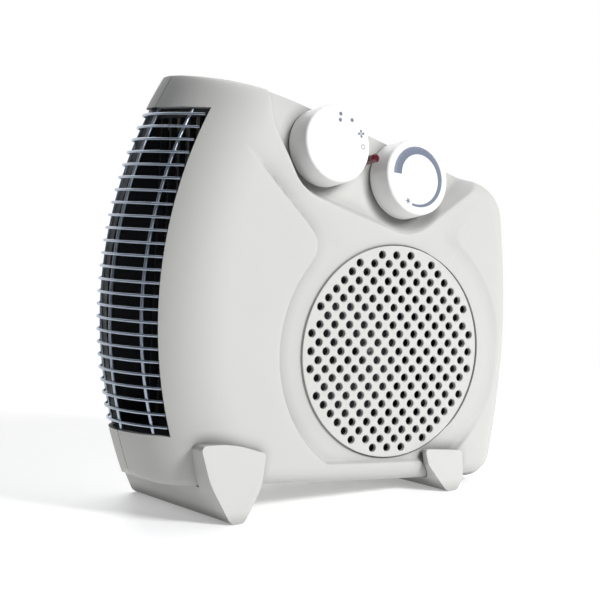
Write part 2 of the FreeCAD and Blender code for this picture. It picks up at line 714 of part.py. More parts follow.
def make_supply_lead():
    """Live lead from the terminal block to the mode switch."""
    way = TERMINAL_WAYS[0]
    return bent_rod(((way, LEAD_Y, TERMINAL_Z[1] + 0.2), (way, LEAD_Y, 60.0), (20.0, LEAD_Y, 84.0),
                     (-30.0, 86.0, 108.0), (-52.0, 47.5, 112.0)), LEAD_R, 12.0)


def make_motor_lead():
    """Lead from the thermostat to the motor's winding."""
    return bent_rod(((-4.0, 48.0, 95.5), (-8.0, 68.0, 80.0), (-44.0, 76.0, 50.0),
                     (-46.0, 80.0, -20.0), (-40.0, 88.0, -38.0), (-16.2, 88.0, -40.0)), LEAD_R, 6.0)


def make_element_lead():
    """Lead from the mode switch to the thermal cut-out of the element."""
    return bent_rod(((-60.0, 47.5, 118.0), (-66.0, 80.0, 122.0), (-84.0, 94.2, 104.0),
                     (-101.4, 94.2, 104.0)), LEAD_R, 8.0)


def make_neutral_lead():
    """Lead from the terminal block round the motor to the thermal fuse."""
    way = TERMINAL_WAYS[1]
    return bent_rod(((way, LEAD_Y, TERMINAL_Z[0] - 0.2), (way, LEAD_Y, -51.0), (20.0, 94.0, -57.0),
                     (-60.0, 94.0, -57.0), (FUSE[0], FUSE[1], -20.0), (FUSE[0], FUSE[1], 39.8)), LEAD_R, 6.0)


# ---------------------------------------------------------------- feet
def make_foot(corners, radii, outer):
    """Rail across the bottom whose ends rise as shields over the front and the back."""
    foot = prism(corners, radii, (FRONT - 30, BACK + 30))
    top = max(z for x, z in corners)
    tip = min(z for x, z in corners)
    profile = [vec(-300, FRONT - FOOT_TOP_REACH, top), vec(-300, FRONT - FOOT_REACH, tip),
               vec(-300, BACK + FOOT_REACH, tip), vec(-300, BACK + FOOT_TOP_REACH, top)]
    limits = Part.Face(Part.makePolygon(profile + [profile[0]])).extrude(vec(600, 0, 0))
    return foot.common(limits).cut(outer)


def make_foot_screws():
    screws = []
    floor = BOTTOM_LEFT[1] + WALL
    for tip, length in ((OUTLET_FOOT_TIP, 12.0), (BACK_FOOT_TIP, 4.5)):
        for y in FOOT_SCREW_Y:
            head = pin(3.4, floor + 0.05, floor + 2.2, tip[0], y)
            screws.append(head.fuse(pin(1.5, floor - WALL - length, floor + 1.0, tip[0], y)))
    return Part.makeCompound(screws)


# ---------------------------------------------------------------- assembly
def build():
    outer, front, back = make_shells()
    foot_screws = make_foot_screws()
    bobbin, coil = make_coil_parts()
    outlet_foot = make_foot(OUTLET_FOOT, OUTLET_FOOT_ROUND, outer).cut(foot_screws)
    back_foot = make_foot(BACK_FOOT, BACK_FOOT_ROUND, outer).cut(foot_screws)
    nodes = {
        "front_cover": front.cut(foot_screws),
        "rear_housing": back.cut(foot_screws),
        "intake_grille": make_intake_disc(),
        "outlet_wire_grille": make_wire_grille(),
        "outlet_duct": make_duct(),
        "element_guard_ribs": make_guard_ribs(),
        "element_end_caps": make_element_frame(),
        "ceramic_stones": make_ceramic_stones(),
        "electrode_strips": make_electrode_strips(),
        "element_fins": make_fins(),
        "element_terminals": make_element_terminals(),
        "fan_scroll": make_scroll(),
        "fan_inlet_plate": make_inlet_plate(),
        "impeller": make_impeller(),
        "motor_shaft": make_motor_shaft(),
        "motor_rotor": make_rotor(),
        "shaft_collars": make_shaft_circlips(),
        "motor_stator": make_stator(),
        "motor_bobbin": bobbin,
        "motor_winding": coil,
        "front_bearing_bracket": make_bearing_bracket((62.8, 65.8), (62.8, 65.8)),
        "rear_bearing_bracket": make_bearing_bracket((84.2, 86.6), (84.2, 92.4)),
        "bearing_bushes": make_bushes(),
        "motor_screws": make_motor_screws(),
        "motor_plate": make_motor_plate(),
        "mode_knob": make_knob(MODE_FACE),
        "mode_spindle": make_spindle(MODE_FACE),
        "mode_switch": make_mode_switch(),
        "thermostat_knob": make_knob(THERMOSTAT_FACE),
        "thermostat_spindle": make_spindle(THERMOSTAT_FACE),
        "thermostat_body": make_thermostat(),
        "thermostat_blades": make_thermostat_blades(),
        "control_nuts": make_control_nuts(),
        "control_terminals": make_control_tabs(),
        "pilot_lamp_lens": make_lamp_lens(),
        "pilot_lamp_bulb": make_lamp_bulb(),
        "pilot_lamp_clip": make_lamp_clip(),
        "terminal_block": make_terminal_block(),
        "terminal_screws": make_terminal_screws(),
        "cord_gland": make_cord_gland(),
        "thermal_cutout": make_thermal_cutout(),
        "thermal_fuse": make_thermal_fuse(),
        "supply_lead": make_supply_lead(),
        "motor_lead": make_motor_lead(),
        "element_lead": make_element_lead(),
        "neutral_lead": make_neutral_lead(),
        "shell_screws": make_shell_screws(),
        "foot_screws": foot_screws,
        "outlet_side_foot": outlet_foot,
        "back_side_foot": back_foot,
    }
    return outer, nodes


def lean(shape):
    turned = shape.copy()
    turned.rotate(vec(0, 0, 0), Y_AXIS, LEAN)
    return turned


def stand(outer, nodes):
    """Turn everything by the lean, flatten the feet and centre the model on the floor."""
    turned = {name: lean(shape) for name, shape in nodes.items()}
    feet = ("outlet_side_foot", "back_side_foot")
    ground = max(turned[name].BoundBox.ZMin for name in feet) + 0.4
    above = box((-500, 500), (-500, 500), (ground, 500))
    for name in feet:
        turned[name] = turned[name].common(above)
    whole = lean(outer).optimalBoundingBox(False)
    shift = vec(-(whole.XMin + whole.XMax) / 2, -MID, -ground)
    for shape in turned.values():
        shape.translate(shift)
    return turned, shift


outer_form, body_nodes = build()
placed, SHIFT = stand(outer_form, body_nodes)
for node_name, node_shape in placed.items():
    node_shape.exportStep("parts/" + node_name + ".step")
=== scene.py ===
import json
import math

import bmesh
import bpy
import numpy as np
from mathutils import Matrix, Vector
from mathutils.geometry import delaunay_2d_cdt


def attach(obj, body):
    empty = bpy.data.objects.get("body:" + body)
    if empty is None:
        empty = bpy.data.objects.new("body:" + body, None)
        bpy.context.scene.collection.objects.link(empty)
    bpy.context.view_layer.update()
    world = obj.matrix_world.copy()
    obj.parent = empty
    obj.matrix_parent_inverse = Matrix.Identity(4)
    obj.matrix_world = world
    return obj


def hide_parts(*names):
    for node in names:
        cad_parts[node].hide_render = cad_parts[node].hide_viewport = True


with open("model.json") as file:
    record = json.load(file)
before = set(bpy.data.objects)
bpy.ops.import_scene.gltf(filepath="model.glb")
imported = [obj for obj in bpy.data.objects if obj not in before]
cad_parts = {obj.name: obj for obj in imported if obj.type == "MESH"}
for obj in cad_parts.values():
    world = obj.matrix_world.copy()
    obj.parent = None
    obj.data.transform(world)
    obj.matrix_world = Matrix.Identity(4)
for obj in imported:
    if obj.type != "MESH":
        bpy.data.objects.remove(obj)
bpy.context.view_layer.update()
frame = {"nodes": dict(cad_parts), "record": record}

# Looks of an upright ceramic fan heater.
# Shapes are worked out in the heater's body frame, in millimetres: origin at the centre of the
# intake disc, X to the right, Y to the back, Z up. BODY_TO_ROW leans them onto the two feet and
# turns them into the row's metres.

# ---------------------------------------------------------------- body frame (mm)
MM = 0.001
LEAN = math.radians(4.867)         # the body leans on its unequal feet
FRONT = -2.0                       # front plane of the side panels
BACK = 102.0
MID = (FRONT + BACK) / 2

JOINTS = {joint["name"]: joint for joint in frame["record"]["behaviour"]["joints"]}
INTAKE = Vector(JOINTS["fan_spin"]["pos_m"]) / MM
BODY_TO_ROW = Matrix.Translation((INTAKE.x * MM, -MID * MM, INTAKE.z * MM)) \
    @ Matrix.Rotation(LEAN, 4, "Y") @ Matrix.Scale(MM, 4)

WHEEL = (91.6, 24.3)               # centre of the outlet side's big arc
WHEEL_R = 260.2
RIM_R = (BACK - FRONT) / 2         # the outlet side is a half round across its depth
WINDOW_FRONT = 13.5                # outlet window; it runs on past the parting line
WINDOW_Z = (-50.6, 138.0)
WINDOW_SIDE = -90.0                # it lies left of this
SEAM = 0.12                        # half of the hairline between the shells
SEAM_CHAMFER = 0.45
SHELL_WALL = 2.2
SHELL_CREASE = 40                  # edges sharper than this many degrees stay sharp
MERGE = 0.01                       # points closer than this are one

DISC_R = 64.2
DISC_GAP = 0.45
DISC_CHAMFER = 0.3                 # of the disc's rim and of its holes
DISC_STEP = 1.4                    # depth where the rim steps in
RIM_STEP = 1.7
DISC_THICK = 2.4
DISC_CREASE = 30
RIM_SIDES = 192
HOLE_SIDES = 24
HOLE_STEP = 5.303
HOLE_R = 2.5
HOLES_WITHIN = 130                 # squared distance of the outermost holes, in lattice steps
INSIDE_HOLE = 0.97

# control panel: leans back, and its two knobs stand on a falling line
ROW_SLOPE = math.radians(15.2)
KNOB_TILT = math.radians(10.0)
ROW = Vector((math.cos(ROW_SLOPE), 0, -math.sin(ROW_SLOPE)))
OUT = Vector((math.sin(ROW_SLOPE) * math.sin(KNOB_TILT), -math.cos(KNOB_TILT),
              math.cos(ROW_SLOPE) * math.sin(KNOB_TILT)))
UP = OUT.cross(ROW)
KNOB_STAND = 18.0
KNOB_R = 23.5
KNOB_GAP = 0.8                     # between the skirt and the panel
KNOB_BORE = 21.6                   # hollow of the skirt, up to the floor
KNOB_FLOOR = 14.0
KNOB_EDGE = 1.75
SKIRT_CHAMFER = 0.2
SPINDLE_HOLE = 6.0

# printed marks
INK_SUNK = 0.05
INK_PROUD = 0.04
DOT_R = 1.25
DOT_SIDES = 20
RING_R = 1.3
RING_LINE = 0.24
RING_SIDES = 24
FAN_TURN = 28
FAN_BLADE = ((0.25, -0.1), (0.8, -0.85), (1.5, -1.1), (2.2, -0.8), (2.5, -0.1),
             (2.25, 0.5), (1.6, 0.5), (0.9, 0.25), (0.35, 0.2))
BAND_R = 18.6
BAND_WIDTH = (6.2, 1.4)
BAND_DEGREES = (175, -109)
BAND_STEPS = 72
STAR_R = 1.9
STAR_LINE = 0.3


def to_body(point):
    """A point of the row's frame, in metres, in the body frame."""
    return BODY_TO_ROW.inverted() @ Vector(point)


MODE_FACE = to_body(JOINTS["mode_turn"]["pos_m"])
THERMOSTAT_FACE = to_body(JOINTS["thermostat_turn"]["pos_m"])
PANEL = MODE_FACE - OUT * KNOB_STAND


def panel_matrix(face):
    """Row matrix of a frame on the control panel below a knob's face: Z out, X along the row."""
    foot = face - OUT * (face - PANEL).dot(OUT)
    axes = Matrix((ROW, UP, OUT)).transposed().to_4x4()
    return BODY_TO_ROW @ Matrix.Translation(foot) @ axes


# ---------------------------------------------------------------- mesh helpers
def make_object(name, points, faces, matrix, smooth=True, crease=None):
    """Mesh object from points given in the frame of the matrix."""
    mesh = bpy.data.meshes.new(name)
    mesh.from_pydata([tuple(p) for p in points], [], [tuple(f) for f in faces])
    mesh.transform(matrix)
    if matrix.determinant() < 0:
        mesh.flip_normals()
    mesh.validate()
    obj = bpy.data.objects.new(name, mesh)
    bpy.context.scene.collection.objects.link(obj)
    if smooth:
        mesh.shade_smooth()
    if crease is not None:
        mesh.set_sharp_from_angle(angle=math.radians(crease))
    return obj


def outward(obj):
    """Make the normals of a closed mesh point outwards."""
    work = bmesh.new()
    work.from_mesh(obj.data)
    bmesh.ops.recalc_face_normals(work, faces=work.faces)
    work.to_mesh(obj.data)
    work.free()


def lathe(name, profile, matrix, segments=144, crease=35.0):
    """Closed solid turned about Z from a profile of (radius, height) that starts and ends on Z."""
    points = []
    faces = []
    rings = []
    for radius, height in profile:
        if radius == 0:
            rings.append([len(points)])
            points.append((0, 0, height))
            continue
        rings.append(list(range(len(points), len(points) + segments)))
        for i in range(segments):
            turn = 2 * math.pi * i / segments
            points.append((radius * math.cos(turn), radius * math.sin(turn), height))
    for lower, upper in zip(rings, rings[1:]):
        for i in range(segments):
            j = (i + 1) % segments
            if len(lower) == 1:
                faces.append((lower[0], upper[j], upper[i]))
            elif len(upper) == 1:
                faces.append((lower[i], lower[j], upper[0]))
            else:
                faces.append((lower[i], lower[j], upper[j], upper[i]))
    obj = make_object(name, points, faces, matrix, crease=crease)
    outward(obj)
    return obj


def arc_profile(centre, radius, start, end, steps):
    """Points of a round edge of a profile, angles in degrees."""
    result = []
    for i in range(steps + 1):
        angle = math.radians(start + (end - start) * i / steps)
        result.append((centre[0] + radius * math.cos(angle), centre[1] + radius * math.sin(angle)))
    return result


# ---------------------------------------------------------------- outlines and distances
BATCH = 4000                       # points handled at a time, to bound memory


def rounded_outline(corners, radii, step=0.6):
    """Closed polyline along a polygon whose corners are tangent arcs."""
    corners = np.array(corners, float)
    count = len(corners)
    points = []
    for i in range(count):
        corner = corners[i]
        before = corners[i - 1] - corner
        after = corners[(i + 1) % count] - corner
        before /= np.linalg.norm(before)
        after /= np.linalg.norm(after)
        half = math.acos(np.clip(before @ after, -1, 1)) / 2
        if radii[i] == 0:
            points.append(corner)
            continue
        middle = before + after
        centre = corner + middle / np.linalg.norm(middle) * radii[i] / math.sin(half)
        start = corner + before * radii[i] / math.tan(half) - centre
        end = corner + after * radii[i] / math.tan(half) - centre
        first = math.atan2(start[1], start[0])
        turn = (math.atan2(end[1], end[0]) - first + math.pi) % (2 * math.pi) - math.pi
        steps = max(4, int(abs(turn) * radii[i] / step))
        for k in range(steps + 1):
            angle = first + turn * k / steps
            points.append(centre + radii[i] * np.array((math.cos(angle), math.sin(angle))))
    return np.array(points)


def inside_distance(x, z, outline):
    """Distance to a closed polyline, positive inside."""
    a = outline
    b = np.roll(outline, -1, axis=0)
    keep = np.linalg.norm(b - a, axis=1) > 1e-9
    a = a[keep]
    b = b[keep]
    along = b - a
    length2 = (along ** 2).sum(1)
    result = np.empty(x.size)
    flat_x = x.ravel()
    flat_z = z.ravel()
    for low in range(0, x.size, BATCH):
        px = flat_x[low:low + BATCH, None]
        pz = flat_z[low:low + BATCH, None]
        share = ((px - a[:, 0]) * along[:, 0] + (pz - a[:, 1]) * along[:, 1]) / length2
        share = np.clip(share, 0, 1)
        dx = px - a[:, 0] - share * along[:, 0]
        dz = pz - a[:, 1] - share * along[:, 1]
        distance = np.sqrt((dx ** 2 + dz ** 2).min(1))
        crosses = (a[:, 1] > pz) != (b[:, 1] > pz)
        with np.errstate(divide="ignore", invalid="ignore"):
            where = a[:, 0] + (pz - a[:, 1]) * along[:, 0] / along[:, 1]
        inside = (crosses & (px < where)).sum(1) % 2 == 1
        result[low:low + BATCH] = np.where(inside, distance, -distance)
    return result.reshape(x.shape)


def polar_reach(outline, angles):
    """Distance from the intake's centre to an outline in each direction."""
    dense = []
    for a, b in zip(outline, np.roll(outline, -1, axis=0)):
        steps = max(1, int(np.linalg.norm(b - a) / 0.4))
        for i in range(steps):
            dense.append(a + (b - a) * i / steps)
    dense = np.array(dense)
    turn = np.arctan2(dense[:, 1], dense[:, 0])
    order = np.argsort(turn)
    return np.interp(angles, turn[order], np.hypot(dense[:, 0], dense[:, 1])[order], period=2 * np.pi)


def wheel_reach(angles, radius):
    """Distance from the intake's centre to a circle about the wheel's centre."""
    along = np.cos(angles) * WHEEL[0] + np.sin(angles) * WHEEL[1]
    gap = radius ** 2 - WHEEL[0] ** 2 - WHEEL[1] ** 2
    return along + np.sqrt(along ** 2 + gap)


def smoothstep(low, high, value):
    """Smooth rise from 0 at low to 1 at high."""
    t = np.clip((value - low) / (high - low), 0, 1)
    return t * t * (3 - 2 * t)


def smooth_max(a, b, width):
    """Larger of two values, blended over a width."""
    h = np.clip(0.5 + 0.5 * (a - b) / width, 0, 1)
    return b + (a - b) * h + width * h * (1 - h)


# ---------------------------------------------------------------- form of the shells
BODY_OUTLINE = rounded_outline(
    ((-139.5, 158.0), (-86.0, 151.9), (81.1, 100.4), (94.0, 7.5), (81.8, -79.1), (-147.2, -79.1),
     (-190.0, 20.0), (-190.0, 56.0)),
    (12.0, 330.0, 26.0, 420.0, 17.0, 12.0, 0, 0))
FLAT_OUTLINE = rounded_outline(
    ((-92.0, 139.0), (-80.0, 137.5), (70.0, 91.5), (81.0, 7.5), (70.0, -67.0), (-95.0, -67.0),
     (-146.0, 36.0)),
    (24.0, 200.0, 24.0, 200.0, 12.0, 22.0, 0))
RECESS_OUTLINE = rounded_outline(
    ((-84.0, 175.0), (-94.5, 136.0), (-68.0, 94.0), (13.0, 68.5), (64.5, 109.2), (58.0, 140.0)),
    (0, 26.0, 34.0, 28.0, 6.0, 0))
FUNNEL_OUTLINE = rounded_outline(
    ((-51.0, 58.0), (-63.8, 73.4), (-130.0, 136.7), (0.0, 190.0), (110.0, 130.0), (38.0, 71.0),
     (20.0, 40.0)),
    (0, 0, 0, 0, 0, 0, 0))

EDGE = 12.0                        # rounding of the long edges
SOFT_CORNER = 8.0                  # what is added to it at the top corner of the outlet side
SOFT_CORNER_X = (-40.0, -130.0)    # where that grows
SOFT_CORNER_Z = (90.0, 135.0)
EDGE_POWER = 2.2                   # blend of the outlet side's half round with the edges

POCKET_DEPTH = 3.2
SHALLOWER = 1.8                    # the right side of the pocket is shallower and softer
POCKET_R = 80.6
POCKET_BOTTOM = -67.5
POCKET_WAIST_Z = 20.0              # the pocket is round below this height and opens above it
WAIST_ROUND = 14.0
POCKET_WALL = 3.4                  # width of the wall
LEFT_STEEPER = 1.6
RIGHT_WIDER = 5.0
WALL_POWER = 2.2
WALL_LIP = 0.5                     # rounding where the wall starts
LEFT_X = (20.0, -20.0)             # where the left and the right wall take over
LEFT_Z = (-66.0, -40.0)
RIGHT_X = (0.0, 60.0)
RIGHT_Z = (-62.0, -40.0)
HOLLOW = 1.2                       # the floor is a little deeper along its left wall
HOLLOW_WIDTH = 14.0
FADE_Z = 108.0                     # the pocket runs out upwards at this height above the intake
FADE_SLOPE = -0.11
FADE_LENGTH = 26.0
POCKET_EDGE = 10.0                 # and over the rounded edges

RECESS_WALL = 5.0                  # width of the wall of the control recess
RECESS_WALL_RIGHT = 2.0            # what is added to it at the right
RECESS_RIGHT_X = (-60.0, 10.0)
RECESS_POWER = 2.6
RECESS_LIP = 0.7

DIRECTIONS = 720                   # mesh of the front shell, as rings about the intake
RECESS_DIRECTIONS = (40, 130)
FLAT_ROWS = 110
ROUND_ROWS = 30
WALL_ROWS = 8
HOLE_EDGE = 0.3
HOLE_LIP = (2.4, 0.3)              # depths of the lip around the disc
JUST_INSIDE = 0.9999


def rounded_start(distance, radius):
    """Distance that starts from zero along a small rounding."""
    return (distance + np.sqrt(distance ** 2 + radius ** 2)) / 2


def form_depth(x, z):
    """Depth of the smooth body form below its front plane."""
    rim = np.clip(np.hypot(x - WHEEL[0], z - WHEEL[1]) - (WHEEL_R - RIM_R), 0, RIM_R)
    rim = RIM_R - np.sqrt(RIM_R ** 2 - rim ** 2)
    reach = EDGE + SOFT_CORNER * smoothstep(*SOFT_CORNER_X, x) * smoothstep(*SOFT_CORNER_Z, z)
    edge = np.clip(1 - inside_distance(x, z, BODY_OUTLINE) / reach, 0, 1)
    edge = reach * (1 - np.sqrt(1 - edge ** 2))
    return np.minimum((rim ** EDGE_POWER + edge ** EDGE_POWER) ** (1 / EDGE_POWER), RIM_R)


def pocket_depth(x, z):
    """Recessed centre panel: round below, and opening upwards, where it fades out."""
    disc = np.minimum(POCKET_R - np.hypot(x, z), z - POCKET_BOTTOM)
    inside = smooth_max(disc, inside_distance(x, z, FUNNEL_OUTLINE), WAIST_ROUND)
    inside = rounded_start(np.where(z < POCKET_WAIST_Z, disc, inside), WALL_LIP)
    left = smoothstep(*LEFT_X, x) * smoothstep(*LEFT_Z, z)
    right = smoothstep(*RIGHT_X, x) * smoothstep(*RIGHT_Z, z)
    width = POCKET_WALL - LEFT_STEEPER * left + RIGHT_WIDER * right
    wall = 1 - (1 - np.clip(inside / width, 0, 1)) ** WALL_POWER
    hollow = HOLLOW * left * wall * (1 - smoothstep(width, width + HOLLOW_WIDTH, inside))
    fade_line = FADE_Z + FADE_SLOPE * x
    fade = 1 - smoothstep(fade_line - FADE_LENGTH, fade_line, z)
    return fade * ((POCKET_DEPTH - SHALLOWER * right) * wall + hollow)


def recess_mix(x, z):
    """Share of the way from the body form to the control panel's plane."""
    inside = rounded_start(inside_distance(x, z, RECESS_OUTLINE), RECESS_LIP)
    width = RECESS_WALL + RECESS_WALL_RIGHT * smoothstep(*RECESS_RIGHT_X, x)
    return 1 - (1 - np.clip(inside / width, 0, 1)) ** RECESS_POWER


def panel_y(x, z):
    """Depth of the control panel's plane."""
    return PANEL.y - ((x - PANEL.x) * OUT.x + (z - PANEL.z) * OUT.z) / OUT.y


def shell_angles():
    """Directions about the intake, closer together where the control recess is."""
    middle = np.linspace(-180, 180, DIRECTIONS, endpoint=False)
    step = np.where((middle > RECESS_DIRECTIONS[0]) & (middle < RECESS_DIRECTIONS[1]), 0.5, 1.0)
    share = np.cumsum(1 / step)
    spread = np.linspace(0, share[-1], DIRECTIONS * 3 // 2, endpoint=False)
    return np.radians(np.interp(spread, share, middle + 0.5))


def shell_skin():
    """Outer skin of the front shell, as rings about the intake's centre out to the parting line."""
    angles = shell_angles()
    reach = np.minimum(polar_reach(BODY_OUTLINE, angles), wheel_reach(angles, WHEEL_R))
    flat = np.minimum(polar_reach(FLAT_OUTLINE, angles), wheel_reach(angles, WHEEL_R - RIM_R))
    hole = DISC_R + DISC_GAP
    first = hole + HOLE_EDGE
    rows = [first + (flat - first) * i / FLAT_ROWS for i in range(FLAT_ROWS)]
    for i in range(ROUND_ROWS + 1):
        rows.append(flat + (reach - flat) * math.sin(math.pi / 2 * i / ROUND_ROWS))
    radius = np.array(rows)
    x = radius * np.cos(angles)
    z = radius * np.sin(angles)
    depth = form_depth(x, z)
    depth[-1] = form_depth(x[-1] * JUST_INSIDE, z[-1] * JUST_INSIDE)
    depth = depth + pocket_depth(x, z) * (1 - smoothstep(0.0, POCKET_EDGE, depth))
    y = FRONT + depth
    y = y + (panel_y(x, z) - y) * recess_mix(x, z)
    layers = [np.stack((x[i], y[i], z[i]), 1) for i in range(len(radius))]

    edge = layers[-1]
    parting = MID - SEAM
    for i in range(1, WALL_ROWS + 1):
        level = edge[:, 1] + (parting - SEAM_CHAMFER - edge[:, 1]) * (i / WALL_ROWS)
        layers.append(np.stack((edge[:, 0], np.maximum(level, edge[:, 1]), edge[:, 2]), 1))
    closing = edge.copy()
    closing[:, 0] -= np.cos(angles) * SEAM_CHAMFER
    closing[:, 2] -= np.sin(angles) * SEAM_CHAMFER
    closing[:, 1] = parting
    layers.append(closing)

    lip = []
    for level in HOLE_LIP:
        ring = layers[0].copy()
        ring[:, 0] = hole * np.cos(angles)
        ring[:, 2] = hole * np.sin(angles)
        ring[:, 1] = level
        lip.append(ring)
    layers = lip + layers

    count = len(angles)
    faces = []
    for i in range(len(layers) - 1):
        for k in range(count):
            j = (k + 1) % count
            faces.append((i * count + k, i * count + j, (i + 1) * count + j, (i + 1) * count + k))
    return np.concatenate(layers), faces


def cut_window(work):
    """Cut the outlet window's straight edges into the skin and remove what is inside it."""
    for centre, normal in (((0, WINDOW_FRONT, 0), (0, 1, 0)), ((0, 0, WINDOW_Z[0]), (0, 0, 1)),
                           ((0, 0, WINDOW_Z[1]), (0, 0, 1))):
        faces = [face for face in work.faces if face.calc_center_median().x < WINDOW_SIDE]
        edges = list({edge for face in faces for edge in face.edges})
        verts = list({vert for face in faces for vert in face.verts})
        bmesh.ops.bisect_plane(work, geom=verts + edges + faces, dist=1e-4,
                               plane_co=centre, plane_no=normal)
    inside = []
    for face in work.faces:
        x, y, z = face.calc_center_median()
        if x < WINDOW_SIDE and y > WINDOW_FRONT and WINDOW_Z[0] < z < WINDOW_Z[1]:
            inside.append(face)
    bmesh.ops.delete(work, geom=inside, context="FACES")


def open_spindle_holes(work):
    """Open the panel around each knob's spindle; the knobs cover these holes."""
    for middle in (MODE_FACE, THERMOSTAT_FACE):
        inside = []
        for face in work.faces:
            offset = face.calc_center_median() - middle
            if (offset - OUT * offset.dot(OUT)).length < SPINDLE_HOLE:
                inside.append(face)
        bmesh.ops.delete(work, geom=inside, context="FACES")


def make_shell(name):
    """Front shell: the skin with its window and spindle holes, thickened inwards."""
    points, faces = shell_skin()
    mesh = bpy.data.meshes.new(name)
    mesh.from_pydata([tuple(p) for p in points], [], faces)
    work = bmesh.new()
    work.from_mesh(mesh)
    bmesh.ops.remove_doubles(work, verts=work.verts, dist=MERGE)
    cut_window(work)
    open_spindle_holes(work)
    bmesh.ops.recalc_face_normals(work, faces=work.faces)
    topmost = max(work.faces, key=lambda face: face.calc_center_median().z)
    if topmost.normal.z < 0:
        bmesh.ops.reverse_faces(work, faces=work.faces)
    work.to_mesh(mesh)
    work.free()
    mesh.transform(BODY_TO_ROW)
    mesh.shade_smooth()
    obj = bpy.data.objects.new(name, mesh)
    bpy.context.scene.collection.objects.link(obj)
    wall = obj.modifiers.new("wall", "SOLIDIFY")
    wall.thickness = SHELL_WALL * MM
    wall.offset = -1.0
    bpy.context.view_layer.objects.active = obj
    bpy.ops.object.select_all(action="DESELECT")
    obj.select_set(True)
    bpy.ops.object.modifier_apply(modifier="wall")
    obj.data.set_sharp_from_angle(angle=math.radians(SHELL_CREASE))
    return obj


# ---------------------------------------------------------------- intake disc
def circle(centre, radius, count):
    """Points of a circle, anticlockwise."""
    return [(centre[0] + radius * math.cos(2 * math.pi * i / count),
             centre[1] + radius * math.sin(2 * math.pi * i / count)) for i in range(count)]


def disc_holes():
    """Centres of the holes: every second point of a square lattice, inside a circle."""
    holes = []
    for row in range(-11, 12):
        for column in range(-11, 12):
            if (row + column) % 2 == 1 and row * row + column * column <= HOLES_WITHIN:
                holes.append((column * HOLE_STEP, row * HOLE_STEP))
    return holes


def disc_loops(rim_radius, hole_radius, holes):
    """The rim and the holes of one level of the disc."""
    return [circle((0, 0), rim_radius, RIM_SIDES)] + [circle(h, hole_radius, HOLE_SIDES) for h in holes]


def perforated_faces(loops, holes, hole_radius):
    """Faces of a flat plate between its rim and its holes, as places in the loops' points."""
    flat = [Vector(point) for loop in loops for point in loop]
    edges = []
    start = 0
    for loop in loops:
        edges += [(start + i, start + (i + 1) % len(loop)) for i in range(len(loop))]
        start += len(loop)
    places, _, found, origin, _, _ = delaunay_2d_cdt(flat, edges, [], 0, 1e-5)
    centres = np.array(holes)
    kept = []
    for face in found:
        middle = sum((places[i] for i in face), Vector((0, 0))) / len(face)
        nearest = np.hypot(centres[:, 0] - middle.x, centres[:, 1] - middle.y).min()
        if nearest > hole_radius * INSIDE_HOLE:
            kept.append([origin[i][0] for i in face])
    return kept


def make_disc(name):
    """Perforated disc: every hole has a small chamfer and a wall through the disc."""
    holes = disc_holes()
    # rim radius, hole radius and depth of each level; the two in the middle make the rim's step
    levels = [(DISC_R - DISC_CHAMFER, HOLE_R + DISC_CHAMFER, 0.0), (DISC_R, HOLE_R, DISC_CHAMFER),
              (DISC_R, HOLE_R, DISC_STEP), (DISC_R - RIM_STEP, HOLE_R, DISC_STEP),
              (DISC_R - RIM_STEP, HOLE_R, DISC_THICK)]
    size = RIM_SIDES + HOLE_SIDES * len(holes)
    points = []
    for rim_radius, hole_radius, y in levels:
        for loop in disc_loops(rim_radius, hole_radius, holes):
            points += [(p[0], y, p[1]) for p in loop]
    faces = []
    for level in range(len(levels) - 1):
        low = level * size
        for i in range(RIM_SIDES):
            j = (i + 1) % RIM_SIDES
            faces.append((low + i, low + j, low + size + j, low + size + i))
    for level, next_level in ((0, 1), (1, 3), (3, 4)):
        for h in range(len(holes)):
            low = level * size + RIM_SIDES + h * HOLE_SIDES
            high = next_level * size + RIM_SIDES + h * HOLE_SIDES
            for i in range(HOLE_SIDES):
                j = (i + 1) % HOLE_SIDES
                faces.append((low + j, low + i, high + i, high + j))
    for level, is_back in ((0, False), (len(levels) - 1, True)):
        rim_radius, hole_radius, _ = levels[level]
        loops = disc_loops(rim_radius, hole_radius, holes)
        for face in perforated_faces(loops, holes, hole_radius):
            if is_back:
                face.reverse()
            faces.append([level * size + i for i in face])
    obj = make_object(name, points, faces, BODY_TO_ROW, crease=DISC_CREASE)
    work = bmesh.new()
    work.from_mesh(obj.data)
    bmesh.ops.delete(work, geom=[v for v in work.verts if not v.link_faces], context="VERTS")
    bmesh.ops.recalc_face_normals(work, faces=work.faces)
    work.to_mesh(obj.data)
    work.free()
    return obj


# ---------------------------------------------------------------- knobs
def make_knob(name, face):
    """Knob turned about its axis: a hollow skirt, a rounded edge and a flat face."""
    profile = [(0, KNOB_FLOOR), (KNOB_BORE, KNOB_FLOOR), (KNOB_BORE, KNOB_GAP),
               (KNOB_R - SKIRT_CHAMFER, KNOB_GAP), (KNOB_R, KNOB_GAP + SKIRT_CHAMFER)]
    profile += arc_profile((KNOB_R - 2.1, KNOB_STAND - 1.8), KNOB_EDGE, 4, 80, 8)
    profile += [(20.6, KNOB_STAND - 0.03), (19.8, KNOB_STAND), (10.0, KNOB_STAND), (0, KNOB_STAND)]
    return lathe(name, profile, panel_matrix(face), segments=180)


def ink_solid(name, outlines, face):
    """Printed marks: flat outlines just proud of a knob's face, given in the face's own plane."""
    points = []
    faces = []
    for outline in outlines:
        start = len(points)
        count = len(outline)
        for level in (KNOB_STAND - INK_SUNK, KNOB_STAND + INK_PROUD):
            points += [(p[0], p[1], level) for p in outline]
        faces.append(tuple(range(start + count - 1, start - 1, -1)))
        faces.append(tuple(range(start + count, start + 2 * count)))
        for i in range(count):
            j = (i + 1) % count
            faces.append((start + i, start + j, start + count + j, start + count + i))
    return make_object(name, points, faces, panel_matrix(face), smooth=False)


def on_dial(radius, degrees):
    """Place on a knob's face; degrees count anticlockwise from level right."""
    angle = math.radians(degrees) + ROW_SLOPE
    return Vector((radius * math.cos(angle), radius * math.sin(angle)))


